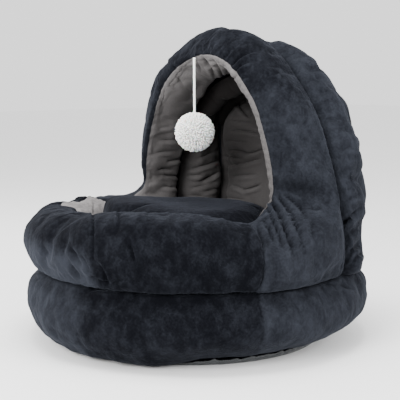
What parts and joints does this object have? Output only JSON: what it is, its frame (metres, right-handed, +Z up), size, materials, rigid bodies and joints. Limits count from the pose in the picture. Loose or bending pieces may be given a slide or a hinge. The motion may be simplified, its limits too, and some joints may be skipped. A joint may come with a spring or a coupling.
{
  "type": "round calming pet bed",
  "caption": "Round plush cat or small dog bed: thick base pad, soft front bolster, padded arched hood with an open front, loose seat cushion and a hanging yarn pompom.",
  "frame": {"origin": "middle of the flat underside, on the surface the bed stands on", "axes": "+Z up, -Y towards the open front of the bed, +X to the right as seen from in front"},
  "size_m": [0.5023, 0.5017, 0.4512],
  "materials": {
    "velour_navy": "short velour pile",
    "lining_grey": "brushed short pile",
    "floor_cloth_grey": "woven, slightly shiny",
    "yarn_white": "soft yarn"
  },
  "bodies": {
    "root": {"base_pad": "velour_navy", "floor_cloth": "floor_cloth_grey", "front_bolster": "velour_navy", "front_arch": "velour_navy", "back_arch": "velour_navy", "back_wall": "velour_navy", "bolster_lining": "lining_grey", "front_arch_lining": "lining_grey", "back_arch_lining": "lining_grey", "wall_lining": "lining_grey", "seat_cushion": "velour_navy", "toy_cord": "yarn_white", "pompom": "yarn_white"}
  },
  "joints": []
}
